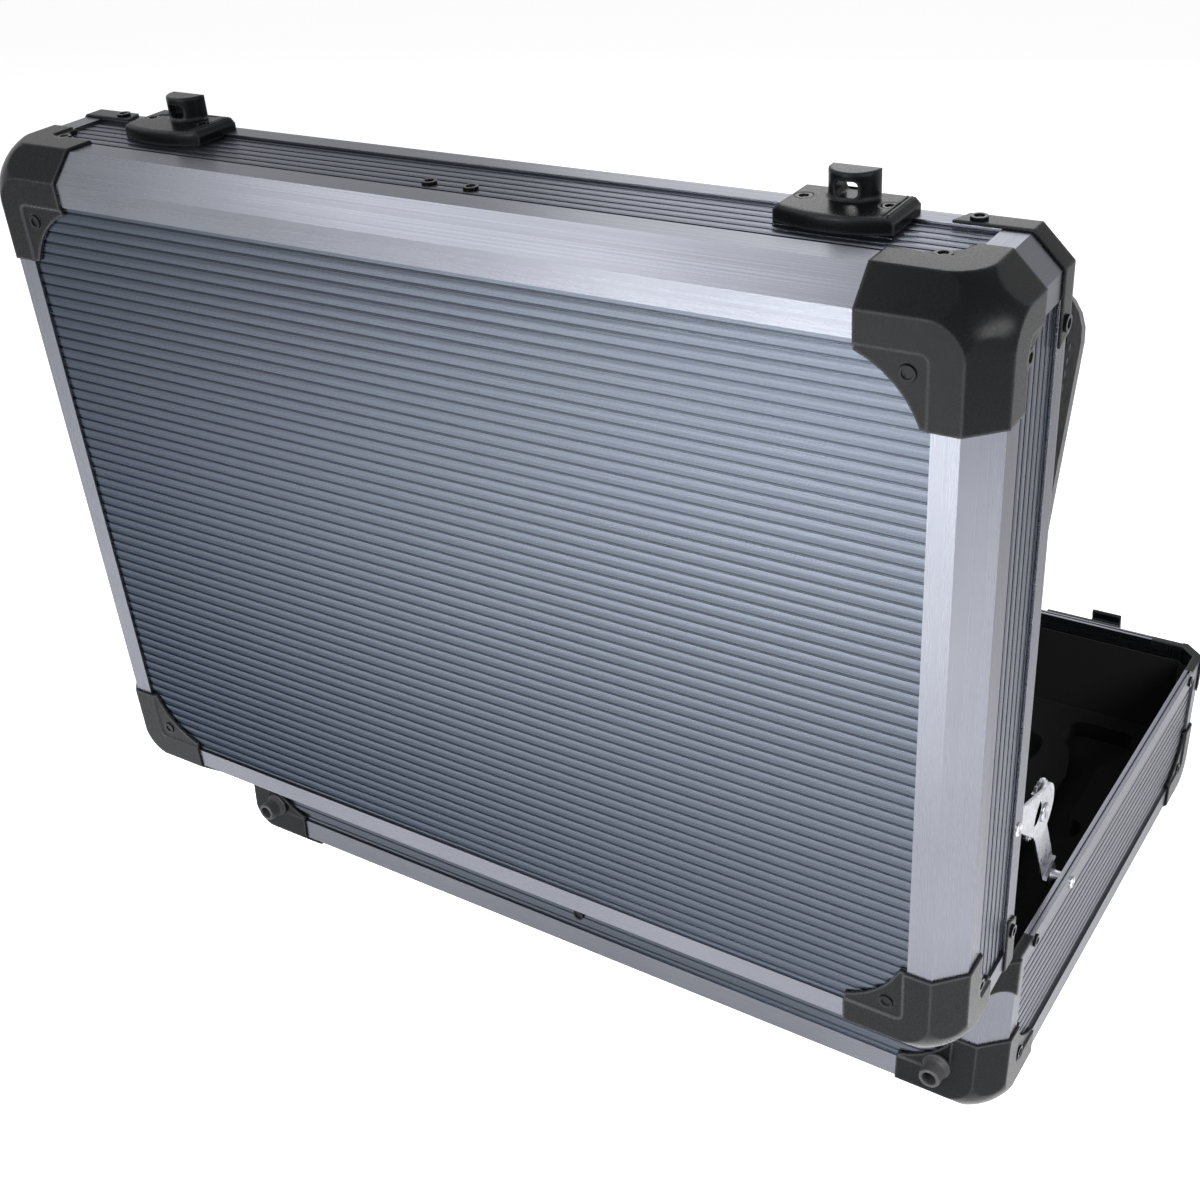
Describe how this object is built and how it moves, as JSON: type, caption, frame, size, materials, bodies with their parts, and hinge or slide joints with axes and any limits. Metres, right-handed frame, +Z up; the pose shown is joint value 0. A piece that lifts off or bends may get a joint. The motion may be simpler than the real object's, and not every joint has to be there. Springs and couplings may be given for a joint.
{
  "type": "aluminum tool case",
  "caption": "Aluminium tool case with ribbed panels, black corner caps and hasp latches, its hinged lid open on folding stays above a foam insert cut out for tools.",
  "frame": {"origin": "centre of the base's footprint, in the plane that the case stands on", "axes": "+Z up, -Y towards the front with the latches and the handle, +Y towards the hinge, +X to the right seen from the front"},
  "size_m": [0.459, 0.4854, 0.4324],
  "materials": {
    "ribbed_panel": "fine ribs, satin",
    "extrusion": "satin anodised",
    "black_metal": "semi-gloss black",
    "rivet_metal": "satin",
    "zinc_steel": "bright zinc",
    "lining_cloth": "flat black",
    "foam": "soft, matte",
    "organizer_board": "fine grain with bound edges",
    "black_rubber": "matte",
    "handle_plastic": "semi-matte"
  },
  "bodies": {
    "base": {"base_bottom_panel": "ribbed_panel", "base_front_panel": "ribbed_panel", "base_rear_panel": "ribbed_panel", "base_left_panel": "ribbed_panel", "base_right_panel": "ribbed_panel", "base_front_trim": "extrusion", "base_rear_trim": "extrusion", "base_left_trim": "extrusion", "base_right_trim": "extrusion", "base_corner_posts": "extrusion", "base_rim_frame": "extrusion", "base_rim_plates": "black_metal", "base_rivets": "rivet_metal", "base_feet": "black_rubber", "base_cap_front_left": "black_metal", "base_cap_front_right": "black_metal", "base_cap_rear_left": "black_metal", "base_cap_rear_right": "black_metal", "base_lining": "lining_cloth", "foam_insert": "foam", "hinge_base_leaf": "zinc_steel", "hinge_pin": "zinc_steel", "left_latch_plate": "black_metal", "right_latch_plate": "black_metal", "left_handle_bracket": "black_metal", "right_handle_bracket": "black_metal", "stay_base_studs": "zinc_steel"},
    "lid": {"lid_face_panel": "ribbed_panel", "lid_front_panel": "ribbed_panel", "lid_rear_panel": "ribbed_panel", "lid_left_panel": "ribbed_panel", "lid_right_panel": "ribbed_panel", "lid_front_trim": "extrusion", "lid_rear_trim": "extrusion", "lid_left_trim": "extrusion", "lid_right_trim": "extrusion", "lid_corner_posts": "extrusion", "lid_rim_frame": "extrusion", "lid_rim_plates": "black_metal", "lid_rivets": "rivet_metal", "lid_feet": "black_rubber", "lid_cap_front_left": "black_metal", "lid_cap_front_right": "black_metal", "lid_cap_rear_left": "black_metal", "lid_cap_rear_right": "black_metal", "lid_lining": "lining_cloth", "hinge_lid_leaf": "zinc_steel", "left_keeper": "black_metal", "right_keeper": "black_metal", "stay_lid_studs": "zinc_steel", "organizer_rod": "zinc_steel"},
    "organizer": {"lid_organizer": "organizer_board"},
    "left_hasp": {"left_latch_hasp": "black_metal"},
    "right_hasp": {"right_latch_hasp": "black_metal"},
    "handle": {"carry_handle": "handle_plastic"},
    "left_lower_link": {"left_stay_lower_link": "zinc_steel"},
    "right_lower_link": {"right_stay_lower_link": "zinc_steel"},
    "left_upper_link": {"left_stay_upper_link": "zinc_steel"},
    "right_upper_link": {"right_stay_upper_link": "zinc_steel"}
  },
  "joints": [
    {"name": "lid_hinge", "type": "hinge", "parent": "base", "child": "lid", "pos_m": [0, 0.165, 0.092], "axis": [1, 0, 0], "range_deg": [0, 95]},
    {"name": "organizer_swing", "type": "hinge", "parent": "lid", "child": "organizer", "pos_m": [0, 0.21176, 0.10096], "axis": [-1, 0, 0], "range_deg": [0, 19.6]},
    {"name": "left_hasp_pivot", "type": "hinge", "parent": "base", "child": "left_hasp", "pos_m": [-0.1545, -0.1705, 0.052], "axis": [-1, 0, 0], "range_deg": [0, 73]},
    {"name": "right_hasp_pivot", "type": "hinge", "parent": "base", "child": "right_hasp", "pos_m": [0.1545, -0.1705, 0.052], "axis": [-1, 0, 0], "range_deg": [0, 73]},
    {"name": "handle_pivot", "type": "hinge", "parent": "base", "child": "handle", "pos_m": [0, -0.1698, 0.059], "axis": [-1, 0, 0], "range_deg": [0, 110]},
    {"name": "left_lower_link_pivot", "type": "hinge", "parent": "base", "child": "left_lower_link", "pos_m": [-0.21675, 0.081, 0.087], "axis": [1, 0, 0], "range_deg": [0, 116.8]},
    {"name": "left_upper_link_pivot", "type": "hinge", "parent": "lid", "child": "left_upper_link", "pos_m": [-0.21975, 0.1773, 0.17525], "axis": [1, 0, 0], "range_deg": [-116.8, 0]},
    {"name": "right_lower_link_pivot", "type": "hinge", "parent": "base", "child": "right_lower_link", "pos_m": [0.21675, 0.081, 0.087], "axis": [1, 0, 0], "range_deg": [0, 116.8]},
    {"name": "right_upper_link_pivot", "type": "hinge", "parent": "lid", "child": "right_upper_link", "pos_m": [0.21975, 0.1773, 0.17525], "axis": [1, 0, 0], "range_deg": [-116.8, 0]}
  ],
  "couplings": [
    {"joint": "left_lower_link_pivot", "follows": "lid_hinge", "ratio": 1.2294},
    {"joint": "left_upper_link_pivot", "follows": "lid_hinge", "ratio": -1.2294},
    {"joint": "right_lower_link_pivot", "follows": "lid_hinge", "ratio": 1.2294},
    {"joint": "right_upper_link_pivot", "follows": "lid_hinge", "ratio": -1.2294}
  ]
}
